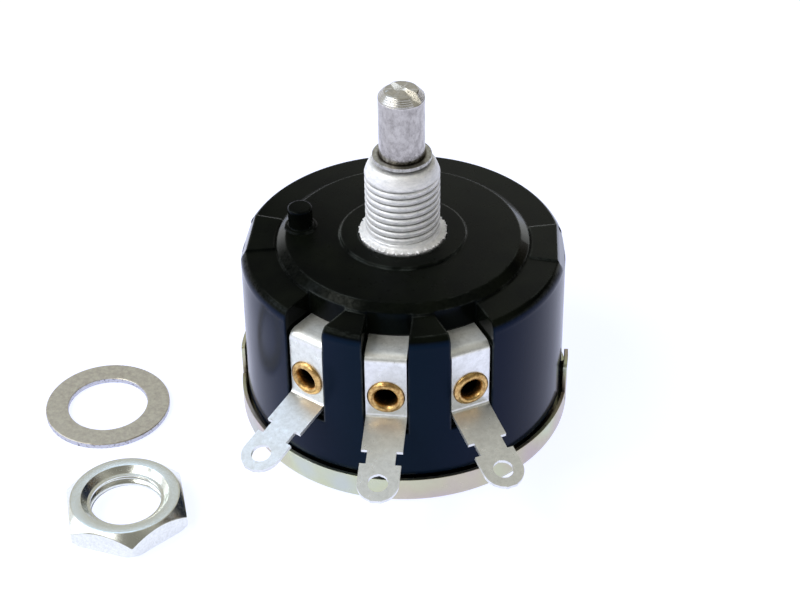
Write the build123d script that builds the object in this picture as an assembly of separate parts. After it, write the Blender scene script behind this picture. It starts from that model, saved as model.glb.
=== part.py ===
from build123d import *

import os
from math import asin, cos, degrees, radians, sin, sqrt

# Panel-mounting wirewound rotary potentiometer, standing on its back cover.
# Millimetres and degrees.  +Z runs up the shaft, the three terminals are on the -Y side, and the
# origin is the middle of the back cover's outer face.

# Back cover: a shallow pressed pan with snap tabs that run up the case wall.
cover_wall_gap = 0.35
cover_thickness = 0.5
cover_corner = 1.2
cover_rim_height = 4.0
tab_azimuths = (0.0, 90.0, 180.0)
seam_azimuth = 45.0
tab_width = 4.2
tab_rise = 4.2
relief_width = 0.6
relief_depth = 1.4
dimple_rise = 2.3
dimple_base_radius = 1.2
dimple_tip_radius = 0.7
dimple_reach = 0.65
dimple_clearance = 0.1
insulator_gap = 0.1
insulator_thickness = 0.4

# Case: a phenolic moulding with a stepped top, open towards the cover.
case_top_radius = 21.55
case_draft = 0.2
case_wall = 3.95
rebate_reveal = 0.3
rebate_depth = 0.75
shelf_height = 26.3
shoulder_width = 0.75
shoulder_drop = 1.8
shoulder_bulge = 0.2
shelf_width = 4.8
disc_step = 0.3
disc_bevel_width = 1.25
disc_rise = 1.2
top_thickness = 3.0
pad_radius = 8.4
pad_rise = 0.35
pad_round = 0.15

# Raised flats on the shelf, either side of the case.
flat_half_angle = 11.6
flat_azimuths = (3.45, 181.0)
flat_inner_gap = 0.25
flat_rise = 0.22
flat_edge_inset = 1.2
flat_bevel_inset = 0.9
flat_bevel_drop = 0.5
flat_foot_inset = 0.05
flat_foot_drop = 2.55

# Locating peg that stops the case turning in its panel.
peg_azimuth = 178.5
peg_distance = 13.7
peg_radius = 1.62
peg_height = 3.1
peg_round = 0.25
peg_collar_width = 0.5
peg_collar_height = 0.25

# Terminals: tinned strip, bent twice, riveted to the wall by an eyelet.
terminal_azimuths = {"left": -120.0, "centre": -90.0, "right": -60.0}
strip_width = 5.3
strip_thickness = 0.5
strip_bend_radius = 0.7
channel_depth = 1.05
channel_side_gap = 0.25
channel_foot_drop = 2.15
pocket_side_gap = 0.3
pocket_depth = 3.6
pocket_inner_inset = 0.15
pocket_floor_thickness = 1.2
anchor_depth = 1.2
anchor_gap = 0.05
anchor_back_wall = 0.9
bend_clearance = 0.02
blade_corner_drop = 3.45
blade_slope = 14.7
blade_reach = 9.95
blade_hole_radius = 1.3
neck_reach = 6.25
neck_length = 2.0
neck_width = 3.7

# Brass eyelets.
eyelet_drop = 5.9
eyelet_bore_radius = 1.3
eyelet_wall = 0.3
eyelet_head_radius = 2.45
eyelet_head_rise = 0.6
eyelet_clinch_radius = 2.3
eyelet_clinch_thickness = 0.35
eyelet_hole_clearance = 0.03

# Threaded bushing, moulded into the case.
thread_radius = 5.0
thread_length = 10.7
thread_end_width = 0.8
thread_end_height = 1.6
thread_end_bulge = 0.12
bushing_foot_drop = 6.35
bushing_flange_radius = 5.9
bushing_flange_thickness = 0.45
bushing_boss_wall = 2.5
shaft_running_clearance = 0.05
insert_clearance = 0.01

# Shaft and the ring that keeps it in the bushing.
shaft_radius = 3.0
shaft_reach = 10.5
shaft_foot_reach = 1.2
shaft_end_width = 0.95
shaft_end_height = 1.25
shaft_end_bulge = 0.15
driver_slot_width = 1.3
driver_slot_depth = 1.6
driver_slot_azimuth = -38.0
ring_gap_below = 0.45
ring_thickness = 0.5
ring_radius = 3.85
ring_groove_radius = 2.4
ring_groove_clearance = 0.04
ring_mouth_angle = 70.0

# Rotor: hub, wiper, brush and collector finger.  The wiper points to +Y at mid travel.
travel_angle = 300.0
wiper_azimuth = 90.0
thrust_washer_radius = 5.2
thrust_washer_thickness = 0.4
end_play = 0.1
hub_radius = 6.5
hub_height = 7.0
hub_press_clearance = 0.01
stop_half_angle = 14.0
stop_clearance_angle = 0.5
stop_outer_radius = 8.3
stop_height = 3.6
stop_side_gap = 0.3
rotor_lug_gap = 0.2
rotor_lug_drop = 0.4
arm_thickness = 0.4
arm_width = 4.0
arm_disc_radius = 5.5
brush_width = 3.2
brush_height = 4.0
brush_depth = 2.3
brush_gap = 0.35
finger_width = 2.4
finger_thickness = 0.3
finger_gap = 0.15
collector_inner_radius = 9.2
collector_ring_width = 2.2
collector_thickness = 0.4
collector_strap_width = 4.0
collector_strap_lap = 1.0

# Resistance element: wire wound on a curved former, clamped at both ends.
element_height = 7.0
element_drop = 4.3
former_thickness = 1.0
winding_thickness = 0.25
winding_wall_gap = 0.15
winding_end_margin = 6.0
clamp_thickness = 0.35
clamp_half_angle = 5.0
clamp_ear_half_angle = 7.3
clamp_ear_rise = 3.2

# Flat washer and hexagon nut, lying beside the potentiometer.
washer_place = (-40.95, -7.31)
washer_radius = 8.6
washer_hole_radius = 5.5
washer_thickness = 0.8
washer_edge_round = 0.12
nut_place = (-33.48, -28.0)
nut_corner_azimuth = 48.0
nut_across_flats = 15.0
nut_height = 3.4
nut_face_radius = 7.1
nut_foot_radius = 8.1
nut_thread_height = 0.45
nut_mouth_radius = 5.95
nut_mouth_depth = 0.8

# A cutter runs this far past the face it opens.
overrun = 1.0

# Heights and radii that follow from the sizes above.
case_foot = cover_thickness + insulator_thickness
case_foot_radius = case_top_radius + case_draft
cover_inner_radius = case_foot_radius + cover_wall_gap
cover_radius = cover_inner_radius + cover_thickness
insulator_radius = case_foot_radius - rebate_depth - insulator_gap
tab_top = cover_rim_height + tab_rise
dimple_height = cover_rim_height + dimple_rise
disc_radius = case_top_radius - shelf_width
flat_inner_radius = disc_radius + flat_inner_gap
pocket_inner_radius = disc_radius - pocket_inner_inset
rebate_top = cover_rim_height + rebate_reveal
disc_top = shelf_height + disc_rise
pad_top = disc_top + pad_rise
ceiling = disc_top - top_thickness
collector_outer_radius = collector_inner_radius + collector_ring_width
bushing_foot = pad_top - bushing_foot_drop
flange_top = pad_top + bushing_flange_thickness
thread_top = flange_top + thread_length
shaft_top = thread_top + shaft_reach
cavity_radius = case_top_radius - case_wall
pocket_floor = shelf_height - pocket_depth
eyelet_height = pocket_floor - eyelet_drop
blade_corner_height = eyelet_height - blade_corner_drop
channel_foot = blade_corner_height - channel_foot_drop
clamp_ear_top = eyelet_height + clamp_ear_rise
element_top = eyelet_height - element_drop
element_foot = element_top - element_height
haunch_foot = pocket_floor - pocket_floor_thickness
haunch_inner_radius = pocket_inner_radius - anchor_depth - anchor_back_wall
channel_floor = case_top_radius - channel_depth
channel_width = strip_width + 2 * channel_side_gap
pocket_width = strip_width + 2 * pocket_side_gap
strip_middle = channel_floor + strip_thickness / 2
blade_hole_distance = strip_middle + blade_reach
neck_distance = strip_middle + neck_reach
peg_collar_radius = peg_radius + peg_collar_width
eyelet_barrel_radius = eyelet_bore_radius + eyelet_wall
eyelet_hole_radius = eyelet_barrel_radius + eyelet_hole_clearance
boss_radius = bushing_flange_radius + bushing_boss_wall
bushing_bore_radius = shaft_radius + shaft_running_clearance
ring_foot = thread_top + ring_gap_below
hub_top = bushing_foot - end_play - thrust_washer_thickness
hub_foot = hub_top - hub_height
shaft_foot = hub_foot - shaft_foot_reach
rotor_lug_top = hub_top - rotor_lug_drop
winding_outer_radius = cavity_radius - winding_wall_gap
former_outer_radius = winding_outer_radius - winding_thickness
former_inner_radius = former_outer_radius - former_thickness
winding_inner_radius = former_inner_radius - winding_thickness
brush_face = winding_inner_radius - brush_gap
dead_angle = 360 - travel_angle
rotor_lug_half_angle = dead_angle / 2 - stop_half_angle - stop_clearance_angle
cover_inner_radius = cover_radius - cover_thickness
nut_thread_radius = thread_radius - nut_thread_height


def turned(*outline):
    """Solid of revolution about Z from (radius, height) points."""
    return revolve(Plane.XZ * make_face(Polyline(*outline, close=True)), Axis.Z)


def ring(inner, outer, low, high):
    """Plain tube about Z."""
    return turned((inner, low), (outer, low), (outer, high), (inner, high))


def disc(radius, low, high):
    """Plain cylinder about Z."""
    return Pos(0, 0, low) * extrude(Circle(radius), high - low)


def sector(inner, outer, low, high, middle, half_angle):
    """Part of a tube that spans half_angle either side of the azimuth middle."""
    section = make_face(Polyline((inner, low), (outer, low), (outer, high), (inner, high), close=True))
    piece = revolve(Plane.XZ * section, Axis.Z, revolution_arc=2 * half_angle)
    return Rot(0, 0, middle - half_angle) * piece


def crowned(radius, low, high, width, height, bulge):
    """Cylinder about Z whose upper edge is rounded over a width and a height."""
    start = (radius, high - height)
    end = (radius - width, high)
    middle = (radius - width / 2 + bulge, high - height / 2 + bulge)
    side = Polyline((0, low), (radius, low), start)
    crown = ThreePointArc(start, middle, end)
    closing = Polyline(end, (0, high), (0, low))
    return revolve(Plane.XZ * make_face([side.edges(), crown.edges(), closing.edges()]), Axis.Z)


def block(near, far, width, low, high):
    """Box that runs along +X from near to far, centred on the X axis."""
    return Pos(near, 0, low) * Box(far - near, width, high - low, align=(Align.MIN, Align.CENTER, Align.MIN))


def aim(azimuth, shape):
    """Turns a piece that was built along +X to its azimuth."""
    return Rot(0, 0, azimuth) * shape


def radial_cylinder(radius, near, far, height):
    """Cylinder along +X at a given height."""
    start = Plane(origin=(near, 0, height), x_dir=(0, 1, 0), z_dir=(1, 0, 0))
    return extrude(start * Circle(radius), far - near)


def chord(radius, width):
    """Distance from the axis to a flat of the given width that just fits inside radius."""
    return sqrt(radius**2 - (width / 2) ** 2)


def bent_strip(width, thickness, bend, *corners):
    """Strip of constant section whose middle line turns at the (radius, height) corners."""
    points = [Vector(radius, 0, height) for radius, height in corners]
    path = FilletPolyline(*points, radius=bend)
    start = Plane(origin=path @ 0, x_dir=(0, 1, 0), z_dir=path % 0)
    return sweep(start * Rectangle(width, thickness), path=path)


def case_outside():
    """Outside of the case: drafted wall, rounded shoulder, shelf, bevelled disc and bushing pad."""
    foot_radius = case_foot_radius - rebate_depth
    shoulder_foot = shelf_height - shoulder_drop
    shelf_edge = case_top_radius - shoulder_width
    middle_radius = case_top_radius - shoulder_width / 2 + shoulder_bulge
    middle_height = shelf_height - shoulder_drop / 2 + shoulder_bulge
    bevel_top = disc_radius - disc_bevel_width
    shoulder_start = (case_top_radius, shoulder_foot)
    below = Polyline(
        (0, case_foot),
        (foot_radius, case_foot),
        (foot_radius, rebate_top),
        (case_foot_radius, rebate_top),
        shoulder_start,
    )
    shoulder = ThreePointArc(shoulder_start, (middle_radius, middle_height), (shelf_edge, shelf_height))
    above = Polyline(
        (shelf_edge, shelf_height),
        (disc_radius, shelf_height),
        (disc_radius, shelf_height + disc_step),
        (bevel_top, disc_top),
        (pad_radius, disc_top),
        (pad_radius, pad_top - pad_round),
        (pad_radius - pad_round, pad_top),
        (0, pad_top),
        (0, case_foot),
    )
    return revolve(Plane.XZ * make_face([below.edges(), shoulder.edges(), above.edges()]), Axis.Z)


def case_inside():
    """Hollow of the case: the element chamber, the rotor chamber above it and the bushing hole."""
    chamber = disc(cavity_radius, case_foot - overrun, haunch_foot)
    upper = disc(haunch_inner_radius, haunch_foot - overrun, ceiling)
    upper -= disc(boss_radius, bushing_foot, ceiling)
    hole = disc(bushing_flange_radius + insert_clearance, bushing_foot - overrun, pad_top + overrun)
    return chamber + upper + hole


def bend_relief():
    """Rounds the edge between pocket floor and channel floor, where the strip bends over it."""
    bend = strip_bend_radius - strip_thickness / 2
    far = channel_floor - bend
    high = pocket_floor - bend
    corner = block(far, channel_floor + overrun, channel_width, high, pocket_floor + overrun)
    across = Plane(origin=(far, -channel_width, high), x_dir=(1, 0, 0), z_dir=(0, 1, 0))
    return corner - extrude(across * Circle(bend - bend_clearance), 2 * channel_width)


def terminal_recess():
    """Everything cut from the case for one terminal, built along +X."""
    outside = case_foot_radius + overrun
    pocket = block(0, outside, pocket_width, pocket_floor, disc_top + overrun)
    pocket -= disc(pocket_inner_radius, 0, disc_top + 2 * overrun)
    channel = block(channel_floor, outside, channel_width, channel_foot, pocket_floor + overrun)
    anchor = block(
        pocket_inner_radius - anchor_depth,
        channel_floor,
        strip_width + 2 * anchor_gap,
        pocket_floor,
        pocket_floor + strip_thickness + anchor_gap,
    )
    hole = radial_cylinder(eyelet_hole_radius, cavity_radius - overrun, outside, eyelet_height)
    return pocket + channel + anchor + hole + bend_relief()


def shelf_flat(middle):
    """Raised flat with a straight bevelled outer edge, and the piece of shoulder it takes the place of."""
    top = shelf_height + flat_rise
    foot = top - flat_foot_drop
    outline = Polyline(
        (0, foot),
        (case_top_radius - flat_foot_inset, foot),
        (case_top_radius - flat_bevel_inset, top - flat_bevel_drop),
        (case_top_radius - flat_edge_inset, top),
        (0, top),
        close=True,
    )
    wedge = aim(middle, extrude(Plane.XZ * make_face(outline), case_top_radius, both=True))
    flat = sector(flat_inner_radius, case_top_radius, foot, top, middle, flat_half_angle) & wedge
    far = case_foot_radius + overrun
    cleared = sector(flat_inner_radius, far, foot, top + overrun, middle, flat_half_angle)
    return flat, cleared


def locating_peg():
    """Peg with a small collar, standing on the raised disc."""
    stem = disc(peg_radius, disc_top - overrun, disc_top + peg_height)
    stem = fillet(stem.faces().sort_by(Axis.Z)[-1].edges(), peg_round)
    collar = disc(peg_collar_radius, disc_top - overrun, disc_top + peg_collar_height)
    x = peg_distance * cos(radians(peg_azimuth))
    y = peg_distance * sin(radians(peg_azimuth))
    return Pos(x, y, 0) * (stem + collar)


def snap_recess():
    """Shallow recess in the wall that a cover dimple drops into, built along +X."""
    far = case_foot_radius + overrun
    near = cover_inner_radius - dimple_reach - dimple_clearance
    return radial_cylinder(dimple_base_radius + dimple_clearance, near, far, dimple_height)


def rotor_stop():
    """Stop block under the bushing boss, inside the dead angle."""
    inner = hub_radius + stop_side_gap
    high = bushing_foot + overrun
    return sector(inner, boss_radius, bushing_foot - stop_height, high, wiper_azimuth + 180, stop_half_angle)


def housing():
    """Moulded case."""
    body = case_outside()
    for azimuth in flat_azimuths:
        flat, cleared = shelf_flat(azimuth)
        body = (body - cleared) + flat
    body -= case_inside()
    body += rotor_stop()
    body += locating_peg()
    for azimuth in terminal_azimuths.values():
        body -= aim(azimuth, terminal_recess())
    for azimuth in tab_azimuths:
        body -= aim(azimuth, snap_recess())
    return body


def threaded_bushing():
    """Bushing blank with its flange on the pad; the thread itself is cut on this diameter."""
    body = disc(bushing_flange_radius, bushing_foot, flange_top)
    end = (thread_end_width, thread_end_height, thread_end_bulge)
    body += crowned(thread_radius, flange_top, thread_top, *end)
    return body - disc(bushing_bore_radius, bushing_foot - overrun, thread_top + overrun)


def pan():
    """Pressed pan of the back cover with a rounded bottom corner."""
    outside = disc(cover_radius, 0, cover_rim_height)
    outside = fillet(outside.faces().sort_by(Axis.Z)[0].edges(), cover_corner)
    inside = disc(cover_inner_radius, cover_thickness, cover_rim_height + overrun)
    inside = fillet(inside.faces().sort_by(Axis.Z)[0].edges(), cover_corner - cover_thickness)
    return aim(seam_azimuth, outside - inside)


def radial_cone(near, near_radius, far, far_radius):
    """Truncated cone along +X at the height of the dimples."""
    outline = Polyline((near, 0), (near, near_radius), (far, far_radius), (far, 0), close=True)
    return Pos(0, 0, dimple_height) * revolve(Plane.XY * make_face(outline), Axis.X)


def snap_dimple():
    """Cone pressed inwards from a tab, and the hollow it leaves on the outer side, built along +X."""
    tip = cover_inner_radius - dimple_reach
    middle = cover_radius - cover_thickness / 2
    cone = radial_cone(tip, dimple_tip_radius, middle, dimple_base_radius)
    mouth_radius = dimple_base_radius - cover_thickness / 2
    far = cover_radius + overrun
    hollow = radial_cone(tip + cover_thickness, dimple_tip_radius / 2, far, mouth_radius)
    return cone, hollow


def cover_tab():
    """Snap tab along +X."""
    half_angle = degrees(asin(tab_width / 2 / cover_radius))
    tab = sector(cover_inner_radius, cover_radius, cover_rim_height - relief_depth, tab_top, 0, half_angle)
    tip = tab.faces().sort_by(Axis.Z)[-1].edges().sort_by(Edge.length)[:2]
    return fillet(tip, cover_thickness)


def back_cover():
    """Pressed steel back cover."""
    body = pan()
    relief_span = tab_width + 2 * relief_width
    relief = block(0, cover_radius + overrun, relief_span, cover_rim_height - relief_depth, tab_top)
    for azimuth in tab_azimuths:
        cone, hollow = snap_dimple()
        body -= aim(azimuth, relief)
        body += aim(azimuth, cover_tab())
        body += aim(azimuth, cone)
        body -= aim(azimuth, hollow)
    return body


def insulating_disc():
    """Fibre disc between the cover and the live parts."""
    return disc(insulator_radius, cover_thickness, case_foot)


def blade():
    """Solder blade: neck, eye and round tip, flat in the XY plane with +X outwards."""
    along = 1 / cos(radians(blade_slope))
    hole_at = (blade_hole_distance - strip_middle) * along
    neck_at = (neck_distance - strip_middle) * along
    start = strip_bend_radius
    outline = Pos((start + hole_at) / 2, 0) * Rectangle(hole_at - start, strip_width)
    outline += Pos(hole_at, 0) * Circle(strip_width / 2)
    outline -= Pos(hole_at, 0) * Circle(blade_hole_radius)
    neck = Rectangle(neck_length, strip_width + overrun) - Rectangle(neck_length, neck_width)
    outline -= Pos(neck_at, 0) * neck
    return extrude(outline, strip_thickness / 2, both=True)


def terminal():
    """One terminal along +X: anchored top leg, riveted upright leg and sloping solder blade."""
    top_height = pocket_floor + strip_thickness / 2
    inner_end = pocket_inner_radius - anchor_depth + anchor_gap
    reach = 2 * strip_bend_radius
    out = strip_middle + reach * cos(radians(blade_slope))
    down = blade_corner_height - reach * sin(radians(blade_slope))
    strip = bent_strip(
        strip_width,
        strip_thickness,
        strip_bend_radius,
        (inner_end, top_height),
        (strip_middle, top_height),
        (strip_middle, blade_corner_height),
        (out, down),
    )
    tilted = Pos(strip_middle, 0, blade_corner_height) * Rot(0, blade_slope, 0) * blade()
    body = strip + tilted
    return body - radial_cylinder(eyelet_hole_radius, 0, case_foot_radius + overrun, eyelet_height)


def eyelet(clinch_face):
    """Tubular rivet along +X, with a funnel head outside and its clinch against clinch_face."""
    head_face = channel_floor + strip_thickness
    head_top = head_face + eyelet_head_rise
    lip_middle = eyelet_head_radius - eyelet_wall
    clinch_end = clinch_face - eyelet_clinch_thickness
    profile = Polyline(
        (clinch_end, eyelet_bore_radius),
        (head_face, eyelet_bore_radius),
        (head_top, lip_middle - eyelet_wall),
        (head_top, lip_middle),
        (head_face + eyelet_head_rise / 2, eyelet_head_radius),
        (head_face, eyelet_head_radius),
        (head_face, eyelet_barrel_radius),
        (clinch_face, eyelet_barrel_radius),
        (clinch_face, eyelet_clinch_radius),
        (clinch_end, eyelet_clinch_radius),
        close=True,
    )
    rivet = revolve(Plane.XY * make_face(profile), Axis.X)
    return Pos(0, 0, eyelet_height) * rivet


def element_former():
    """Curved insulating former that carries the winding."""
    half_angle = travel_angle / 2 + clamp_half_angle
    inner = former_inner_radius
    outer = former_outer_radius
    return sector(inner, outer, element_foot, element_top, wiper_azimuth, half_angle)


def resistance_winding():
    """Envelope of the wire turns round the former."""
    half_angle = travel_angle / 2 - winding_end_margin
    low = element_foot - winding_thickness
    high = element_top + winding_thickness
    turns = sector(winding_inner_radius, winding_outer_radius, low, high, wiper_azimuth, half_angle)
    return turns - element_former()


def end_clamp():
    """Saddle over one end of the former, with an ear riveted to the wall, centred on +X."""
    saddle_inner = former_inner_radius - clamp_thickness
    saddle_outer = former_outer_radius + clamp_thickness
    saddle_top = element_top + clamp_thickness
    outer_leg = sector(former_outer_radius, saddle_outer, element_foot, saddle_top, 0, clamp_half_angle)
    inner_leg = sector(saddle_inner, former_inner_radius, element_foot, saddle_top, 0, clamp_half_angle)
    bridge = sector(saddle_inner, saddle_outer, element_top, saddle_top, 0, clamp_half_angle)
    ear_foot = element_top + winding_thickness
    ear = sector(former_outer_radius, saddle_outer, ear_foot, clamp_ear_top, 0, clamp_ear_half_angle)
    body = outer_leg + inner_leg + bridge + ear
    return body - radial_cylinder(eyelet_hole_radius, 0, case_foot_radius + overrun, eyelet_height)


def collector_ring():
    """Flat contact ring under the ceiling, round the bushing boss."""
    return ring(collector_inner_radius, collector_outer_radius, ceiling - collector_thickness, ceiling)


def strap_inner_face():
    """Distance from the axis to the strap's face that the centre eyelet is clinched against."""
    return chord(cavity_radius, collector_strap_width) - collector_thickness


def collector_strap():
    """Strap from the centre eyelet up the wall and along the ceiling to the collector ring."""
    half = collector_thickness / 2
    wall_side = strap_inner_face() + half
    step_side = chord(haunch_inner_radius, collector_strap_width) - half
    strap = bent_strip(
        collector_strap_width,
        collector_thickness,
        collector_thickness,
        (wall_side, eyelet_height - eyelet_clinch_radius),
        (wall_side, haunch_foot - half),
        (step_side, haunch_foot - half),
        (step_side, ceiling - half),
        (collector_outer_radius - collector_strap_lap, ceiling - half),
    )
    strap -= disc(collector_outer_radius + insert_clearance, 0, ceiling + overrun)
    return strap - radial_cylinder(eyelet_hole_radius, 0, case_foot_radius + overrun, eyelet_height)


def shaft():
    """Turned shaft with a rounded end, a screwdriver slot and a groove for the ring."""
    groove_low = ring_foot - ring_groove_clearance
    groove_high = ring_foot + ring_thickness + ring_groove_clearance
    end = (shaft_end_width, shaft_end_height, shaft_end_bulge)
    body = crowned(shaft_radius, shaft_foot, shaft_top, *end)
    body -= ring(ring_groove_radius, shaft_radius + overrun, groove_low, groove_high)
    slot_low = shaft_top - driver_slot_depth
    slot = block(0, shaft_radius + overrun, driver_slot_width, slot_low, shaft_top + overrun)
    return body - aim(driver_slot_azimuth, slot) - aim(driver_slot_azimuth + 180, slot)


def retaining_ring():
    """Open ring snapped into the shaft's groove."""
    inner = ring_groove_radius + ring_groove_clearance
    high = ring_foot + ring_thickness
    return sector(inner, ring_radius, ring_foot, high, -wiper_azimuth, 180 - ring_mouth_angle / 2)


def thrust_washer():
    """Washer between the hub and the foot of the bushing."""
    return ring(bushing_bore_radius, thrust_washer_radius, hub_top, hub_top + thrust_washer_thickness)


def rotor_hub():
    """Insulating hub pressed on the shaft, with the lug that meets the stop."""
    body = disc(hub_radius, hub_foot, hub_top)
    lug_foot = bushing_foot - stop_height + rotor_lug_gap
    inner = hub_radius - overrun
    outer = stop_outer_radius
    body += sector(inner, outer, lug_foot, rotor_lug_top, wiper_azimuth, rotor_lug_half_angle)
    return body - disc(shaft_radius + hub_press_clearance, hub_foot - overrun, hub_top + overrun)


def wiper_arm():
    """Spring arm under the hub, bent down behind the brush."""
    height = hub_foot - arm_thickness / 2
    leg = brush_face - brush_depth - arm_thickness / 2
    leg_foot = element_foot + element_height / 2 - brush_height / 2
    plate = disc(arm_disc_radius, hub_foot - arm_thickness, hub_foot)
    arm = bent_strip(arm_width, arm_thickness, arm_thickness, (0, height), (leg, height), (leg, leg_foot))
    return aim(wiper_azimuth, plate + arm) - disc(shaft_radius + hub_press_clearance, 0, hub_top)


def contact_brush():
    """Graphite block that runs along the inside of the winding."""
    low = element_foot + element_height / 2 - brush_height / 2
    brush = block(brush_face - brush_depth, brush_face, brush_width, low, low + brush_height)
    return aim(wiper_azimuth, brush)


def collector_finger():
    """Spring finger on the rotor lug that reaches up to the collector ring."""
    start = hub_radius + stop_side_gap
    low = rotor_lug_top + finger_thickness / 2
    high = ceiling - collector_thickness - finger_gap - finger_thickness / 2
    ring_middle = (collector_inner_radius + collector_outer_radius) / 2
    knee = boss_radius + stop_side_gap + finger_thickness
    finger = bent_strip(
        finger_width,
        finger_thickness,
        finger_thickness,
        (start, low),
        (knee, low),
        (ring_middle - finger_thickness, high),
        (collector_outer_radius - finger_thickness, high),
    )
    return aim(wiper_azimuth, finger)


def flat_washer():
    """Flat washer with slightly rounded edges."""
    body = ring(washer_hole_radius, washer_radius, 0, washer_thickness)
    body = fillet(body.edges(), washer_edge_round)
    return Pos(*washer_place) * body


def hex_nut():
    """Thin hexagon nut, corners turned off at both faces, bored to the thread's inner diameter."""
    corner = nut_across_flats / 2 / cos(radians(30))
    prism = extrude(RegularPolygon(corner, 6), nut_height)
    blank = turned(
        (0, 0),
        (nut_foot_radius, 0),
        (corner, corner - nut_foot_radius),
        (corner, nut_height - (corner - nut_face_radius)),
        (nut_face_radius, nut_height),
        (0, nut_height),
    )
    bore = turned(
        (0, -overrun),
        (nut_mouth_radius, -overrun),
        (nut_mouth_radius, 0),
        (nut_thread_radius, nut_mouth_depth),
        (nut_thread_radius, nut_height - nut_mouth_depth),
        (nut_mouth_radius, nut_height),
        (nut_mouth_radius, nut_height + overrun),
        (0, nut_height + overrun),
    )
    return Pos(*nut_place) * Rot(0, 0, nut_corner_azimuth) * ((prism & blank) - bore)


def assembly():
    """Every node by name."""
    clamp_inner_face = chord(former_outer_radius, 2 * eyelet_clinch_radius)
    pieces = {
        "housing": housing(),
        "threaded_bushing": threaded_bushing(),
        "back_cover": back_cover(),
        "insulating_disc": insulating_disc(),
        "element_former": element_former(),
        "resistance_winding": resistance_winding(),
        "collector_ring": collector_ring(),
        "collector_strap": aim(terminal_azimuths["centre"], collector_strap()),
        "shaft": shaft(),
        "retaining_ring": retaining_ring(),
        "thrust_washer": thrust_washer(),
        "rotor_hub": rotor_hub(),
        "wiper_arm": wiper_arm(),
        "contact_brush": contact_brush(),
        "collector_finger": collector_finger(),
        "flat_washer": flat_washer(),
        "hex_nut": hex_nut(),
    }
    for side, azimuth in terminal_azimuths.items():
        inner_face = strap_inner_face() if side == "centre" else clamp_inner_face
        pieces["terminal_" + side] = aim(azimuth, terminal())
        pieces["eyelet_" + side] = aim(azimuth, eyelet(inner_face))
        if side != "centre":
            pieces["end_clamp_" + side] = aim(azimuth, end_clamp())
    return pieces


os.makedirs("parts", exist_ok=True)
for name, shape in assembly().items():
    export_step(shape, "parts/" + name + ".step")
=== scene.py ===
# %% [markdown]
# # A wirewound potentiometer, dressed for a studio picture
#
# A panel potentiometer is a small tin-and-phenolic machine: a moulded black case, an aluminium
# bushing with a cut thread, a slotted shaft, three tinned lugs held by brass eyelets, and a pressed
# back cover.  The construction model already holds every piece at its true size.  This notebook
# gives those pieces their finishes, and re-makes the few whose beauty lies in fine shape: the
# bushing and the nut with their threads, the bent lugs, the rolled eyelets, the wound element and
# the turned shaft.  Sizes are written in millimetres, unless a comment says otherwise.

import math
import random

import bmesh
import bpy
from mathutils import Matrix, Vector


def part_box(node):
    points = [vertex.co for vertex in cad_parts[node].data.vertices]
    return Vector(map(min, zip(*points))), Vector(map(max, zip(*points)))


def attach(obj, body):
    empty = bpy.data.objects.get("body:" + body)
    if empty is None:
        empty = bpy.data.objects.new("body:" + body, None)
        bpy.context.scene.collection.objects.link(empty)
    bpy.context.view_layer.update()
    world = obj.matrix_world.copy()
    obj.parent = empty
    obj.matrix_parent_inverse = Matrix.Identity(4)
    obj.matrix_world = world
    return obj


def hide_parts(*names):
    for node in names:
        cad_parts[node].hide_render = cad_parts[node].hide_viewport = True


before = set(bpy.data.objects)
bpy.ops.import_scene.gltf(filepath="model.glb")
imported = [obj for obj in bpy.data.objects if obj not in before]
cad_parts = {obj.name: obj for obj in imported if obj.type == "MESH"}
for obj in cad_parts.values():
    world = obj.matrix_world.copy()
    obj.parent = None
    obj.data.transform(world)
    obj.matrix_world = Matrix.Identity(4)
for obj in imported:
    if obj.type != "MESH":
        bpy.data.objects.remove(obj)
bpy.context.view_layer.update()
MM = 0.001

# %% [markdown]
# ## Three small tools for materials
#
# Colours are written the way a paint chart gives them, as sRGB hex, and Blender works in linear
# light, so one function converts them.  Another adds a node with its settings, its colour stops
# and its links, by way of a third that fills in the inputs of any node.
#
# Two kinds of node come back all the time, and their inputs are given by number.  A Map Range takes
# 0 the value, 1 and 2 the range that it comes from, and 3 and 4 what that range becomes, which is
# 0 to 1 unless it says more.  A colour Mix takes 6 and 7, its two colours.

# %% Colour and node helpers
def linear(hex_colour):
    """Linear RGBA of an sRGB hex colour."""
    channels = [int(hex_colour[i : i + 2], 16) / 255 for i in (1, 3, 5)]
    return [c / 12.92 if c <= 0.04045 else ((c + 0.055) / 1.055) ** 2.4 for c in channels] + [1.0]


def fill(node, inputs):
    """Sets or links a node's inputs.

    inputs maps socket names or numbers to values, to other nodes' outputs, or to other nodes,
    which stand for their first output.
    """
    for name, value in inputs.items():
        if isinstance(value, bpy.types.Node):
            value = value.outputs[0]
        if isinstance(value, bpy.types.NodeSocket):
            node.id_data.links.new(value, node.inputs[name])
        else:
            node.inputs[name].default_value = value


def add(tree, kind, inputs=None, stops=(), **settings):
    """Adds a node; stops are a colour ramp's (position, hex colour) pairs, in rising order."""
    node = tree.nodes.new(kind)
    for name, value in settings.items():
        setattr(node, name, value)
    fill(node, inputs or {})
    for number, (position, colour) in enumerate(stops):
        elements = node.color_ramp.elements
        element = elements[number] if number < len(elements) else elements.new(position)
        element.position = position
        element.color = linear(colour)
    return node


print("mid grey in linear light:", round(linear("#808080")[0], 3))

# %% [markdown]
# ## The start of every material
#
# A value that is the same all over a surface goes straight on the shader's socket, and what varies
# is linked to it later.  Patterns are placed by Object coordinates and sized in millimetres, so
# that a grain or a cloud keeps its true scale on every piece.

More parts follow.
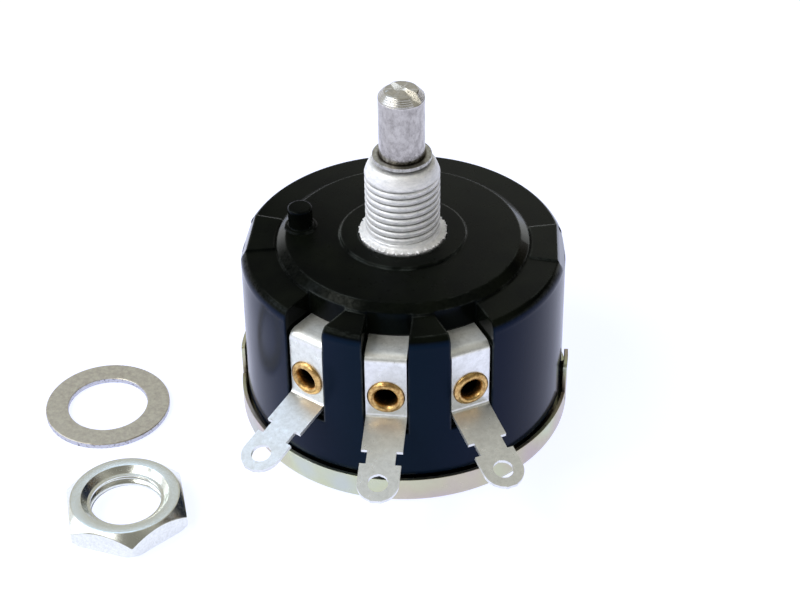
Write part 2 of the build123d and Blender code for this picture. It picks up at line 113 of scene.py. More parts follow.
# %% Blank material and patterns
def new_material(name, **uniform):
    """A material with one Principled shader; uniform values go straight on its sockets."""
    material = bpy.data.materials.new(name)
    material.use_nodes = True
    tree = material.node_tree
    tree.nodes.clear()
    shader = add(tree, "ShaderNodeBsdfPrincipled", {k.replace("_", " "): v for k, v in uniform.items()})
    add(tree, "ShaderNodeOutputMaterial", {"Surface": shader.outputs["BSDF"]})
    place = add(tree, "ShaderNodeTexCoord").outputs["Object"]
    return material, tree, shader, place


def lumps(tree, place, size_mm, detail=3.0, roughness=0.5):
    """Soft lumps about size_mm across; their values lie round 0.5, nearly all from 0.3 to 0.7."""
    # Turned, so that the pattern's grid doesn't line up with the part's own faces.
    turned = add(tree, "ShaderNodeMapping", {"Vector": place, "Rotation": (0.5, 0.8, 0.3)})
    inputs = {"Vector": turned.outputs["Vector"], "Scale": 1 / (size_mm * MM)}
    inputs.update({"Detail": detail, "Roughness": roughness})
    return add(tree, "ShaderNodeTexNoise", inputs).outputs["Fac"]


def from_axis(tree, place):
    """Distance from the shaft's axis in mm."""
    flat = add(tree, "ShaderNodeVectorMath", {0: place, 1: (1 / MM, 1 / MM, 0.0)}, operation="MULTIPLY")
    return add(tree, "ShaderNodeVectorMath", {0: flat}, operation="LENGTH").outputs["Value"]


print("materials start from", new_material.__name__)

# %% [markdown]
# ## The case material: glossy black phenolic
#
# Phenolic is a filled thermoset, pressed in a polished tool: nearly black, with a hard wax-like
# gloss, very fine orange peel, and a faint cloudiness where the filler sits near the skin.  On the
# outer wall the black is tinted blue as a painted reflection.  Grey painted highlights lie in patches on the
# edges right of the peg.
#
# The Bevel node gives a normal that is already turned where a sharp edge lies nearby.  Compared with
# the face's own normal it tells where an edge is, and that is where the painted grey highlight goes.

# %% Phenolic, its colour
EDGE_ROUNDING = 0.4
OUTER_WALL = 21.3


def phenolic_colour(tree, place, rounded, clouds):
    """Clouded black, with a painted blue reflection on the outer wall and painted grey highlights on edges
    right of the peg.
    """
    dark = add(tree, "ShaderNodeValToRGB", {0: clouds}, [(0.35, "#060807"), (0.65, "#0e110c")])
    away = from_axis(tree, place)
    outside = add(tree, "ShaderNodeMapRange", {0: away, 1: OUTER_WALL, 2: OUTER_WALL + 0.2})
    # Painted reflection: the outer wall's black is tinted blue to stand in for the blue that it mirrors.
    painted_reflection_colours = {6: dark, 7: linear("#0a1728"), "Factor": outside}
    base = add(tree, "ShaderNodeMix", painted_reflection_colours, data_type="RGBA").outputs[2]
    flat = add(tree, "ShaderNodeNewGeometry").outputs["Normal"]
    turned = add(tree, "ShaderNodeVectorMath", {0: rounded, 1: flat}, operation="DOT_PRODUCT")
    at_edge = add(tree, "ShaderNodeMapRange", {0: turned.outputs["Value"], 1: 0.99, 2: 0.93})
    patches = add(tree, "ShaderNodeMapRange", {0: lumps(tree, place, 7.0, 4.0, 0.6), 1: 0.46, 2: 0.72})
    x = add(tree, "ShaderNodeSeparateXYZ", {0: place}).outputs["X"]
    right_of_peg = {0: x, 1: -17 * MM, 2: -12 * MM, 3: 0.0, 4: patches.outputs[0]}
    edge_highlight_patches = add(tree, "ShaderNodeMapRange", right_of_peg)
    edge_highlight_share = add(tree, "ShaderNodeMath", {0: at_edge, 1: edge_highlight_patches}, operation="MULTIPLY")
    # Painted highlight: edges right of the peg turn grey in patches, standing in for the light they catch.
    edge_highlight_colours = {6: base, 7: linear("#5a605c"), "Factor": edge_highlight_share}
    return add(tree, "ShaderNodeMix", edge_highlight_colours, data_type="RGBA").outputs[2]


print("edges are rounded by", EDGE_ROUNDING, "mm in the light")

# %% [markdown]
# ## How much the phenolic shines, and where
#
# The tool wasn't polished alike everywhere.  The top is etched and nearly matt, the pockets are
# dull, the outer wall is smooth, and the chamfer round the raised disc is brightest at the back and
# patchy at the front.  The Specular level says how strongly each of those places mirrors the room,
# and its tint is blue on faces that look sideways.

# %% Phenolic, its shine
POCKET_WALL = 20.7
PEG_ZONE = 11.0
DISC_EDGE = 15.3


def phenolic_tint(tree, facing):
    """Blue shine on the walls, stronger where they look to the side, and grey on the top."""
    sideways = add(tree, "ShaderNodeMath", {0: facing["X"]}, operation="ABSOLUTE")
    slant = add(tree, "ShaderNodeMapRange", {0: facing["Z"], 1: 0.3, 2: 0.6})
    across = add(tree, "ShaderNodeMath", {0: sideways, 1: slant}, operation="ADD")
    stops = [(0.2, "#6fa8d8"), (0.6, "#7f98ff"), (0.95, "#7f98ff"), (1.0, "#c8d2cc")]
    return add(tree, "ShaderNodeValToRGB", {0: across}, stops).outputs[0]


def phenolic_shine(tree, place, facing, up):
    """Specular level of the pockets, the wall, the peg, the disc's chamfer and the top."""
    away = from_axis(tree, place)
    wall = {0: away, 1: POCKET_WALL, 2: POCKET_WALL + 0.3, 3: 0.05, 4: 0.1}
    wall = add(tree, "ShaderNodeMapRange", wall)
    patchy = {0: lumps(tree, place, 0.5, 4.0, 0.7), 1: 0.3, 2: 0.7, 3: 0.0, 4: 0.1}
    patchy = add(tree, "ShaderNodeMapRange", patchy)
    chamfer = add(tree, "ShaderNodeMapRange", {0: facing["Y"], 1: -0.2, 2: 0.3, 3: patchy, 4: 1.6})
    past_disc = add(tree, "ShaderNodeMapRange", {0: away, 1: DISC_EDGE, 2: DISC_EDGE + 0.15})
    beside_peg = {0: away, 1: PEG_ZONE + 0.2, 2: PEG_ZONE, 3: past_disc, 4: 1.0}
    beside_peg = add(tree, "ShaderNodeMapRange", beside_peg)
    raised = add(tree, "ShaderNodeMapRange", {0: beside_peg, 3: 0.08, 4: chamfer})
    slanted = add(tree, "ShaderNodeMapRange", {0: facing["Z"], 1: 0.2, 2: 0.5, 3: wall, 4: raised})
    spot = add(tree, "ShaderNodeSeparateXYZ", {0: place}).outputs
    across = add(tree, "ShaderNodeMath", {0: spot["X"], 1: spot["Y"]}, operation="ADD")
    top = add(tree, "ShaderNodeMapRange", {0: across, 1: -15 * MM, 2: 20 * MM, 3: 0.02, 4: 0.15})
    return add(tree, "ShaderNodeMapRange", {0: up, 3: slanted, 4: top}).outputs[0]


print("the outer wall starts at", OUTER_WALL, "mm from the axis")

# %% Phenolic
def phenolic():
    material, tree, shader, place = new_material("phenolic_black_moulded", IOR=1.55)
    clouds = lumps(tree, place, 5.0, 4.0)
    rounded = add(tree, "ShaderNodeBevel", {"Radius": EDGE_ROUNDING * MM}, samples=6).outputs["Normal"]
    facing = add(tree, "ShaderNodeSeparateXYZ", {0: rounded}).outputs
    up = add(tree, "ShaderNodeMapRange", {0: facing["Z"], 1: 0.8, 2: 0.97})
    polished = {0: clouds, 1: 0.3, 2: 0.7, 3: 0.13, 4: 0.2}
    polished = add(tree, "ShaderNodeMapRange", polished)
    etched = {0: lumps(tree, place, 1.2, 4.0, 0.7), 1: 0.3, 2: 0.7, 3: 0.25, 4: 0.38}
    etched = add(tree, "ShaderNodeMapRange", etched)
    roughness = add(tree, "ShaderNodeMapRange", {0: up, 3: polished, 4: etched})
    # Orange peel, a few thousandths of a millimetre deep and drawn coarse enough to show.
    peel = {"Height": lumps(tree, place, 0.3, 3.0, 0.65), "Distance": 0.0035 * MM, "Strength": 1.0}
    normal = add(tree, "ShaderNodeBump", {**peel, "Normal": rounded}).outputs["Normal"]
    fill(shader, {"Base Color": phenolic_colour(tree, place, rounded, clouds)})
    fill(shader, {"Specular Tint": phenolic_tint(tree, facing)})
    fill(shader, {"Specular IOR Level": phenolic_shine(tree, place, facing, up)})
    fill(shader, {"Roughness": roughness, "Normal": normal})
    return material


CASE = phenolic()
print("made", CASE.name, "with", len(CASE.node_tree.nodes), "nodes")

# %% [markdown]
# ## Metals
#
# Every metal here is patches between two tones, a few dark specks, and a fine grain on the surface.
# What tells them apart is the size of the patches, the depth of the grain and how rough they are.
# A metal that isn't quite bare, such as one that is blasted or tinned, is less than fully metallic.
# Grains too fine to show are drawn coarse enough to see.

# %% One metal
def metal(
    name, light, dark, roughness, patch, grain, depth, edge=0.06, stretch=1.0, speck="#8c8782", purity=1.0
):
    """Metal between two hex colours; patch, grain, depth and edge rounding are in mm.

    Patches are longer along the shaft where stretch is more than 1, and flatter where it is less.
    """
    material, tree, shader, place = new_material(name, Metallic=purity)
    drawn = {0: place, 1: (1, 1, 1 / stretch)}
    drawn = add(tree, "ShaderNodeVectorMath", drawn, operation="MULTIPLY")
    patches = lumps(tree, drawn, patch, 6.0, 0.72)
    stops = [(0.27, speck), (0.32, dark), (0.62, light)]
    tones = add(tree, "ShaderNodeValToRGB", {0: patches}, stops)
    duller = {0: patches, 1: 0.3, 2: 0.7, 3: roughness + 0.06, 4: roughness - 0.04}
    fill(shader, {"Base Color": tones, "Roughness": add(tree, "ShaderNodeMapRange", duller)})
    relief = {"Height": lumps(tree, place, grain, 3.0, 0.6), "Distance": depth * MM, "Strength": 1.0}
    if edge:
        relief["Normal"] = add(tree, "ShaderNodeBevel", {"Radius": edge * MM}, samples=6).outputs["Normal"]
    fill(shader, {"Normal": add(tree, "ShaderNodeBump", relief)})
    return material


# Bushing: aluminium, turned and then blasted, so it is matt, almost white, and streaked round.
BLASTED = metal(
    "aluminium_blasted", "#ffffff", "#dcdee0", 0.48,
    patch=1.1, grain=0.14, depth=0.02, stretch=0.4, purity=0.4,
)
# Shaft: drawn aluminium bar, satin, a little longer in its marks than it is wide.
TURNED = metal(
    "aluminium_turned", "#bcb8b1", "#8f8b86", 0.22,
    patch=0.8, grain=0.12, depth=0.007, stretch=1.5, speck="#454340",
)
# Lugs: punched strip, dipped in tin, soft and pale, with faint scuffs.
TINNED = metal(
    "tinned_strip", "#f0f2f0", "#dadcd9", 0.3,
    patch=0.7, grain=0.3, depth=0.002, edge=0.0, purity=0.8,
)
# Eyelets: brass tube, rolled over, bright on its curves, with painted shade down its funnel into the bore.
BRASS = metal("brass_rolled", "#dfbd7c", "#95683a", 0.3, patch=0.4, grain=0.14, depth=0.012)
print("made", [m.name for m in (BLASTED, TURNED, TINNED, BRASS)])

# %% More metals
# Retaining ring: spring steel, hardened, a shade darker than the rest.
STEEL = metal("spring_steel", "#cccbc3", "#8f8c83", 0.36, patch=0.5, grain=0.12, depth=0.01, speck="#5a564e")
# Flat washer: steel, plated matt and slightly yellow.
WASHER = metal(
    "steel_plated_matt", "#d6d1c0", "#bcb4a8", 0.42,
    patch=0.7, grain=0.12, depth=0.012, speck="#908a80",
)
# Nut: steel, plated in bright zinc, almost a mirror.
NUT = metal(
    "zinc_plated_bright", "#eef0e8", "#dde0d8", 0.23,
    patch=0.4, grain=0.16, depth=0.004, speck="#b4b6b0",
)
# Contacts inside: rolled spring bronze, and the resistance wire, drawn and greyish.
BRONZE = metal("bronze_spring", "#b98656", "#8f6038", 0.3, patch=2.0, grain=0.15, depth=0.003)
WIRE = metal("resistance_wire", "#a39c90", "#837b6e", 0.3, patch=1.0, grain=0.1, depth=0.002)
print("made", [m.name for m in (STEEL, WASHER, NUT, BRONZE, WIRE)])

# %% [markdown]
# ## Painted shade and highlights, darker spots and cut edges
#
# The thread's grooves, the inside of the ring and the eyelets' bores get painted shade, the shaft is
# darker in spots towards the ring, its parted-off end gets a painted highlight, and the side of a
# punched washer is bare metal with a painted bluish reflection.  Each of these is laid over a finished
# metal: the helper takes what is linked to the shader, mixes it with something else by place, and links the
# result back.

# %% Changes to a finished metal
def finished(material, socket):
    """Tree and object coordinates of a material, and what is linked to the shader's socket."""
    tree = material.node_tree
    shader = next(n for n in tree.nodes if n.type == "BSDF_PRINCIPLED")
    place = next(n for n in tree.nodes if n.type == "TEX_COORD").outputs["Object"]
    target = shader.inputs[socket]
    return tree, place, target.links[0].from_socket, target


def laid_over(material, colour, share, way):
    """Mixes a colour over the material's own by share, in one of the ways of a colour Mix."""
    tree, _, plain, target = finished(material, "Base Color")
    colours = {6: plain, 7: colour, "Factor": share}
    mix = add(tree, "ShaderNodeMix", colours, data_type="RGBA", blend_type=way)
    tree.links.new(mix.outputs[2], target)


def by_height(tree, place, start, end):
    """Goes from 0 to 1 as the height in mm goes from start to end."""
    height = add(tree, "ShaderNodeSeparateXYZ", {0: place}).outputs["Z"]
    return add(tree, "ShaderNodeMapRange", {0: height, 1: start * MM, 2: end * MM})


print("colours are laid over, and roughness is set, by place")

# %% Painted shade and highlights, darker spots and cut edges
def roughened(material, start, end, roughness):
    """Roughness of its own where the distance from the axis goes from start to end."""
    tree, place, plain, target = finished(material, "Roughness")
    change = {0: from_axis(tree, place), 1: start, 2: end, 3: plain, 4: roughness}
    tree.links.new(add(tree, "ShaderNodeMapRange", change).outputs[0], target)


def painted_shade_by_radius(material, start, end, shade, ceiling=60.0):
    """Painted shade: darkens as the distance from the axis goes from start to end, below a ceiling; mm."""
    tree, place = finished(material, "Base Color")[:2]
    low = by_height(tree, place, ceiling + 0.2, ceiling)
    near = add(tree, "ShaderNodeMapRange", {0: from_axis(tree, place), 1: start, 2: end})
    share = add(tree, "ShaderNodeMath", {0: low, 1: near}, operation="MULTIPLY")
    laid_over(material, linear(shade), share, "MULTIPLY")


def darker_spots_by_height(material, start, end, shade):
    """Darker spots that thicken as the height in mm goes from start to end."""
    tree, place = finished(material, "Base Color")[:2]
    spots = {0: lumps(tree, place, 0.5, 5.0, 0.7), 1: by_height(tree, place, start, end)}
    spots = add(tree, "ShaderNodeMath", spots, operation="MULTIPLY")
    share = add(tree, "ShaderNodeMapRange", {0: spots, 1: 0.3, 2: 0.6})
    laid_over(material, linear(shade), share, "MULTIPLY")


def painted_highlight_by_height(material, start, end, shade):
    """Painted highlight: adds a hex shade to a metal's own as the height in mm goes from start to end."""
    tree, place = finished(material, "Base Color")[:2]
    laid_over(material, linear(shade), by_height(tree, place, start, end), "SCREEN")


def cut_sides_and_painted_reflection(material, shade, torn_shade):
    """Bare metal on the sides, where the press has cut it, with darker torn spots; the sides' bluish tone is
    a painted reflection.
    """
    tree, place = finished(material, "Base Color")[:2]
    normal = add(tree, "ShaderNodeNewGeometry").outputs["Normal"]
    level = add(tree, "ShaderNodeSeparateXYZ", {0: normal}).outputs["Z"]
    side = add(tree, "ShaderNodeMapRange", {0: level, 1: 0.7, 2: 0.3})
    spots = lumps(tree, place, 0.35, 4.0, 0.7)
    cut = add(tree, "ShaderNodeValToRGB", {0: spots}, [(0.36, torn_shade), (0.46, shade)])
    laid_over(material, cut, side, "MIX")


# Painted shade: the thread's grooves darken towards their roots.
painted_shade_by_radius(BLASTED, 4.8, 4.62, "#5a5a54", ceiling=37.2)
# The shaft gets darker in spots towards the ring.
darker_spots_by_height(TURNED, 42.5, 40.2, "#4a4640")
# Painted highlight: the shaft's turned end is brightened.
painted_highlight_by_height(TURNED, 48.0, 48.4, "#94948c")
# Partly painted reflection: the washer's cut sides are bluish grey, with darker torn spots.
cut_sides_and_painted_reflection(WASHER, "#c4c5cb", "#6c6a70")
# Painted shadow: the ring darkens towards the shaft, where the two meet.
painted_shade_by_radius(STEEL, 3.35, 3.05, "#6a5f52")
# Painted shade: the eyelets darken down their funnels into the bores.
painted_shade_by_radius(BRASS, 20.5, 19.9, "#4a3722")
roughened(TINNED, 20.6, 20.2, 0.6)
print("painted shade and highlights, darker spots and cut edges laid on", len((BLASTED, TURNED, WASHER, STEEL, BRASS, TINNED)), "metals")

# %% [markdown]
# ## The cover's passivated zinc
#
# Zinc plate is dipped in chromate, which leaves a film thin enough to show interference colours:
# straw, pink and green drift over the surface as the film's thickness changes.  Slow lumps drive a
# colour ramp through that order.

# %% Passivated zinc
def passivated_zinc():
    material, tree, shader, place = new_material("zinc_yellow_passivated", Metallic=1.0)
    drift = lumps(tree, place, 9.0, 2.0, 0.4)
    stops = [(0.28, "#c3c9bc"), (0.4, "#c6caa8"), (0.5, "#c3bda2"), (0.62, "#c1b4ab"), (0.74, "#b7b9ad")]
    tones = add(tree, "ShaderNodeValToRGB", {0: drift}, stops)
    scuffs = lumps(tree, place, 0.7, 4.0, 0.65)
    duller = {0: scuffs, 1: 0.3, 2: 0.7, 3: 0.26, 4: 0.42}
    fill(shader, {"Base Color": tones, "Roughness": add(tree, "ShaderNodeMapRange", duller)})
    rounded = add(tree, "ShaderNodeBevel", {"Radius": 0.12 * MM}, samples=6).outputs["Normal"]
    relief = {"Height": scuffs, "Distance": 0.01 * MM, "Strength": 1.0, "Normal": rounded}
    fill(shader, {"Normal": add(tree, "ShaderNodeBump", relief)})
    return material


COVER = passivated_zinc()
print("made", COVER.name)

# %% [markdown]
# ## Insulators and the brush
#
# Fibre board and the moulded hub are dull brown; the brush is graphite, dark and slightly greasy.

# %% Dull materials
def dull(name, light, dark, roughness, patch_mm):
    """Non-metal with a mottled colour."""
    material, tree, shader, place = new_material(name, Roughness=roughness)
    patches = lumps(tree, place, patch_mm, 5.0, 0.6)
    stops = [(0.35, dark), (0.65, light)]
    fill(shader, {"Base Color": add(tree, "ShaderNodeValToRGB", {0: patches}, stops)})
    relief = {"Height": patches, "Distance": 0.02 * MM, "Strength": 1.0}
    fill(shader, {"Normal": add(tree, "ShaderNodeBump", relief)})
    return material


BOARD = dull("fibre_board_brown", "#7d5734", "#5e4026", 0.7, 0.8)
GRAPHITE = dull("graphite_copper", "#3a3634", "#232120", 0.45, 0.3)
print("made", BOARD.name, GRAPHITE.name)

# %% Give every construction node its finish
SIDES = ("left", "centre", "right")
FINISHES = {
    CASE: ["housing"],
    BLASTED: ["threaded_bushing"],
    TURNED: ["shaft"],
    STEEL: ["retaining_ring"],
    COVER: ["back_cover"],
    TINNED: ["terminal_" + side for side in SIDES],
    BRASS: ["eyelet_" + side for side in SIDES],
    WASHER: ["flat_washer"],
    NUT: ["hex_nut"],
    BRONZE: [
        "collector_ring", "collector_strap", "collector_finger", "wiper_arm",
        "end_clamp_left", "end_clamp_right",
    ],
    WIRE: ["resistance_winding"],
    BOARD: ["insulating_disc", "element_former", "rotor_hub", "thrust_washer"],
    GRAPHITE: ["contact_brush"],
}
for material, names in FINISHES.items():
    for name in names:
        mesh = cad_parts[name].data
        mesh.materials.clear()
        mesh.materials.append(material)
print("finished", sum(len(names) for names in FINISHES.values()), "nodes")

# %% [markdown]
# ## Fine turned shapes
#
# The construction solids are plain where a lathe or a rolling tool leaves fine form.  A turned skin
# is built from rows.  Most rows have one radius and one height all round, and others are a rule of
# the angle, so that they wander like a torn flange or follow the sides of a hexagon.

# %% Turned skins
def skin(name, rows, angles, closed=False):
    """Mesh round Z from rows; a row is a (radius, height) in mm, or a function of angle that gives one."""
    points = []
    for row in rows:
        for angle in angles:
            radius, height = row(angle) if callable(row) else row
            points.append((radius * math.cos(angle) * MM, radius * math.sin(angle) * MM, height * MM))
    count = len(angles)
    faces = []
    for i in range(len(rows) if closed else len(rows) - 1):
        a = i * count
        b = (i + 1) % len(rows) * count
        for j in range(count):
            k = (j + 1) % count
            faces.append((a + j, a + k, b + k, b + j))
    mesh = bpy.data.meshes.new(name)
    mesh.from_pydata(points, [], faces)
    mesh.validate()
    return mesh


def circle(columns):
    """Evenly spaced angles round the axis."""
    return [2 * math.pi * i / columns for i in range(columns)]


def ripple(angle, seed, *waves):
    """Sum of sine waves round the axis; each wave is (count per turn, size)."""
    phases = random.Random(seed)
    return sum(size * math.sin(count * angle + phases.uniform(0, 6.28)) for count, size in waves)


print("a full turn in 8 columns:", [round(a, 2) for a in circle(8)])

# %% [markdown]
# ## From meshes to a finished piece
#
# The meshes of one piece are joined, their doubles are welded, and their faces are turned outwards.
# Smooth shading with sharp edges above a chosen angle keeps curves soft and corners crisp.  Then the
# piece is hung on the body it rides on, the construction node it stands in for is hidden, and it is given
# its material.

# %% Finished pieces
WELD = 0.002


def finish_piece(name, meshes, material, node, body, sharp_degrees=35):
    """Joins meshes into one smooth-shaded piece that replaces a construction node."""
    points, faces = [], []
    for mesh in meshes:
        start = len(points)
        points += [v.co[:] for v in mesh.vertices]
        faces += [[start + v for v in p.vertices] for p in mesh.polygons]
    joined = bpy.data.meshes.new(name)
    joined.from_pydata(points, [], faces)
    welded = bmesh.new()
    welded.from_mesh(joined)
    bmesh.ops.remove_doubles(welded, verts=welded.verts, dist=WELD * MM)
    bmesh.ops.recalc_face_normals(welded, faces=welded.faces)
    welded.to_mesh(joined)
    welded.free()
    joined.validate()
    joined.shade_smooth()
    joined.set_sharp_from_angle(angle=math.radians(sharp_degrees))
    joined.materials.append(material)
    piece = bpy.data.objects.new(name, joined)
    bpy.context.scene.collection.objects.link(piece)
    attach(piece, body)
    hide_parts(node)
    return piece


print("doubles closer than", WELD, "mm are welded")

# %% [markdown]
# ## The screw thread
#
# A thread is a rule, not a drawing: on a cylinder unrolled into a flat grid, the groove is a set of
# slanted lines, and rolling the grid up again joins them into one helix.  Geometry Nodes does just
# that.  The groove's depth fades at both ends, where the die runs out.  Minus depth cuts the thread
# of a nut, which grows outwards.

# %% A tree's named inputs, and its end
def geometry_tree(name, numbers, counts):
    """Empty Geometry Nodes tree with these inputs and a finish; the tree and its inputs."""
    tree = bpy.data.node_groups.new(name, "GeometryNodeTree")
    kinds = [(number, "NodeSocketFloat") for number in numbers]
    kinds += [(count, "NodeSocketInt") for count in counts]
    for label, kind in kinds + [("Finish", "NodeSocketMaterial")]:
        tree.interface.new_socket(label, in_out="INPUT", socket_type=kind)
    tree.interface.new_socket("Geometry", in_out="OUTPUT", socket_type="NodeSocketGeometry")
    return tree, add(tree, "NodeGroupInput").outputs


def handed_over(tree, shape, finish):
    """Ends a tree: its instances are made real, and then they get their finish."""
    real = add(tree, "GeometryNodeRealizeInstances", {"Geometry": shape})
    done = add(tree, "GeometryNodeSetMaterial", {"Geometry": real, "Material": finish})
    add(tree, "NodeGroupOutput", {"Geometry": done})
    return tree


print("every tree ends in real geometry with a finish")

# %% Thread tree
def thread_tree():
    sizes = ("Radius", "Depth", "Pitch", "Low", "High", "Run Out", "Crest", "Roughness")
    tree, given = geometry_tree("thread", sizes, ("Columns", "Rows"))
    counts = {"Vertices X": given["Columns"], "Vertices Y": given["Rows"]}
    grid = add(tree, "GeometryNodeMeshGrid", {"Size X": 1.0, "Size Y": 1.0, **counts})
    flat = add(tree, "ShaderNodeSeparateXYZ", {0: add(tree, "GeometryNodeInputPosition")}).outputs
    share = add(tree, "ShaderNodeMath", {0: flat["X"], 1: 0.5}, operation="ADD")
    rise = add(tree, "ShaderNodeMath", {0: flat["Y"], 1: 0.5}, operation="ADD")
    length = add(tree, "ShaderNodeMath", {0: given["High"], 1: given["Low"]}, operation="SUBTRACT")
    along = add(tree, "ShaderNodeMath", {0: rise, 1: length}, operation="MULTIPLY")
    # Each turn of the helix is one pitch higher: the phase goes from 0 to 1 from crest to crest.
    turns = add(tree, "ShaderNodeMath", {0: along, 1: given["Pitch"]}, operation="DIVIDE")
    turns = add(tree, "ShaderNodeMath", {0: turns, 1: share}, operation="SUBTRACT")
    phase = add(tree, "ShaderNodeMath", {0: turns}, operation="FRACT")
    groove = add(tree, "ShaderNodeMath", {0: phase, 1: 0.5}, operation="SUBTRACT")
    groove = add(tree, "ShaderNodeMath", {0: groove}, operation="ABSOLUTE")
    groove = add(tree, "ShaderNodeMath", {0: groove, 1: -2.0, 2: 1.0}, operation="MULTIPLY_ADD")
    groove = add(tree, "ShaderNodeMath", {0: groove, 1: given["Crest"]}, operation="POWER")
    left = add(tree, "ShaderNodeMath", {0: length, 1: along}, operation="SUBTRACT")
    fade = add(tree, "ShaderNodeMath", {0: along, 1: left}, operation="MINIMUM")
    fade = add(tree, "ShaderNodeMath", {0: fade, 1: given["Run Out"]}, operation="DIVIDE")
    fade = add(tree, "ShaderNodeMath", {0: fade, 1: 1.0}, operation="MINIMUM")
    cut = add(tree, "ShaderNodeMath", {0: groove, 1: fade}, operation="MULTIPLY")
    cut = add(tree, "ShaderNodeMath", {0: cut, 1: given["Depth"]}, operation="MULTIPLY")
    turn = add(tree, "ShaderNodeMath", {0: share, 1: 2 * math.pi}, operation="MULTIPLY")
    east = add(tree, "ShaderNodeMath", {0: turn}, operation="COSINE")
    north = add(tree, "ShaderNodeMath", {0: turn}, operation="SINE")
    height = add(tree, "ShaderNodeMath", {0: along, 1: given["Low"]}, operation="ADD")
    # The wear goes by the turn itself, so that it joins up where the grid's ends meet.
    upwards = add(tree, "ShaderNodeMath", {0: height, 1: 120.0}, operation="MULTIPLY")
    around = add(tree, "ShaderNodeCombineXYZ", {"X": east, "Y": north, "Z": upwards})
    grain = add(tree, "ShaderNodeTexNoise", {"Vector": around, "Scale": 3.0, "Detail": 3.0})
    wear = add(tree, "ShaderNodeMath", {0: grain, 1: 0.6}, operation="SUBTRACT")
    wear = add(tree, "ShaderNodeMath", {0: wear, 1: given["Roughness"]}, operation="MULTIPLY")
    wear = add(tree, "ShaderNodeMath", {0: wear, 1: fade}, operation="MULTIPLY")
    radius = add(tree, "ShaderNodeMath", {0: given["Radius"], 1: cut}, operation="SUBTRACT")
    radius = add(tree, "ShaderNodeMath", {0: radius, 1: wear}, operation="ADD")
    x = add(tree, "ShaderNodeMath", {0: east, 1: radius}, operation="MULTIPLY")
    y = add(tree, "ShaderNodeMath", {0: north, 1: radius}, operation="MULTIPLY")
    rolled = add(tree, "ShaderNodeCombineXYZ", {"X": x, "Y": y, "Z": height})
    moved = add(tree, "GeometryNodeSetPosition", {"Geometry": grid, "Position": rolled})
    sealed = {"Geometry": moved, "Distance": 0.001 * MM}
    sealed = add(tree, "GeometryNodeMergeByDistance", sealed)
    return handed_over(tree, sealed, given["Finish"])


THREAD = thread_tree()
print("thread tree has", len(THREAD.nodes), "nodes")

# %% From a tree to a mesh
def baked(name, tree, **inputs):
    """Mesh that a Geometry Nodes tree gives for these inputs."""
    holder = bpy.data.objects.new(name, bpy.data.meshes.new(name))
    bpy.context.scene.collection.objects.link(holder)
    modifier = holder.modifiers.new(name, "NODES")
    modifier.node_group = tree
    sockets = {s.name: s.identifier for s in tree.interface.items_tree if s.in_out == "INPUT"}
    for key, value in inputs.items():
        modifier[sockets[key.replace("_", " ")]] = value
    graph = bpy.context.evaluated_depsgraph_get()
    mesh = bpy.data.meshes.new_from_object(holder.evaluated_get(graph), depsgraph=graph)
    bpy.data.objects.remove(holder)
    return mesh


print("a tree's inputs are set by their socket's identifier, and its result is a plain mesh")

# %% [markdown]
# ## The bushing
#
# The thread is shallow, with wide round crests.  Above it is a rounded shoulder.  Below it the
# metal ends in a thin torn flange, squeezed out when the case was pressed round it.

# %% Bushing
PITCH = 1.0
BUSHING_CREST = 4.92
BUSHING_BORE = 3.06
BUSHING_BODY = 5.7
BUSHING_FOOT = 21.51
THREAD_LOW = 28.6
THREAD_HIGH = 37.3
COLUMNS = 360


def torn(radius, height, share):
    """Row that wanders like a torn edge, inside the flange of the construction model."""
    outwards = ((13, 0.04), (37, 0.05), (61, 0.06), (89, 0.05))
    upwards = ((31, 0.03), (57, 0.03))
    return lambda a: (
        radius + share * (ripple(a, 5, *outwards) - 0.08),
        height + share * ripple(a, 9, *upwards),
    )


def bushing():
    bore = [(BUSHING_BORE, BUSHING_FOOT), (BUSHING_BORE, 38.8)]
    bore += [(3.14, 38.93), (3.3, 38.97)]
    top = [(3.9, 38.96), (4.08, 38.93), (4.22, 38.83), (4.37, 38.64), (4.53, 38.36)]
    side = [(4.68, 38.02), (4.8, 37.7), (4.87, 37.45), (BUSHING_CREST, THREAD_HIGH)]
    upper = skin("bushing_upper", bore + top + side, circle(COLUMNS))
    foot = [(BUSHING_CREST, THREAD_LOW), (4.96, 28.42), (5.1, 28.3), torn(5.4, 28.24, 0.4)]
    edge = [torn(5.7, 28.22, 1.0), torn(5.84, 28.15, 1.0), torn(5.87, 28.0, 1.0), (BUSHING_BODY, 27.87)]
    below = [(BUSHING_BODY, BUSHING_FOOT), (BUSHING_BORE, BUSHING_FOOT)]
    lower = skin("bushing_lower", foot + edge + below, circle(COLUMNS))
    sizes = {"Radius": BUSHING_CREST * MM, "Depth": 0.36 * MM, "Pitch": PITCH * MM, "Roughness": 0.04 * MM}
    ends = {"Low": THREAD_LOW * MM, "High": THREAD_HIGH * MM, "Run_Out": 0.5 * MM, "Crest": 3.6}
    counts = {"Columns": COLUMNS + 1, "Rows": 200}
    thread = baked("bushing_thread", THREAD, Finish=BLASTED, **sizes, **ends, **counts)
    meshes = [upper, thread, lower]
    node = "threaded_bushing"
    return finish_piece("bushing_threaded", meshes, BLASTED, node, "case", 50)


print("bushing faces:", len(bushing().data.polygons))

# %% [markdown]
# ## The nut
#
# A hexagon whose corners are turned off on top and just broken below: each flat meets the turned
# cone in a curve.  The rows follow the hexagon by its own rule, so that the curves come out by
# themselves.  The columns stand one degree apart, so that some fall exactly on the corners.

# %% Nut
NUT_CORNER = 48
NUT_HALF = 7.49
NUT_CORNER_RADIUS = 8.61
NUT_HEIGHT = 3.4
NUT_BORE = 4.6
NUT_MOUTH = 5.95
NUT_THREAD_LOW = 0.8
NUT_THREAD_HIGH = 2.52


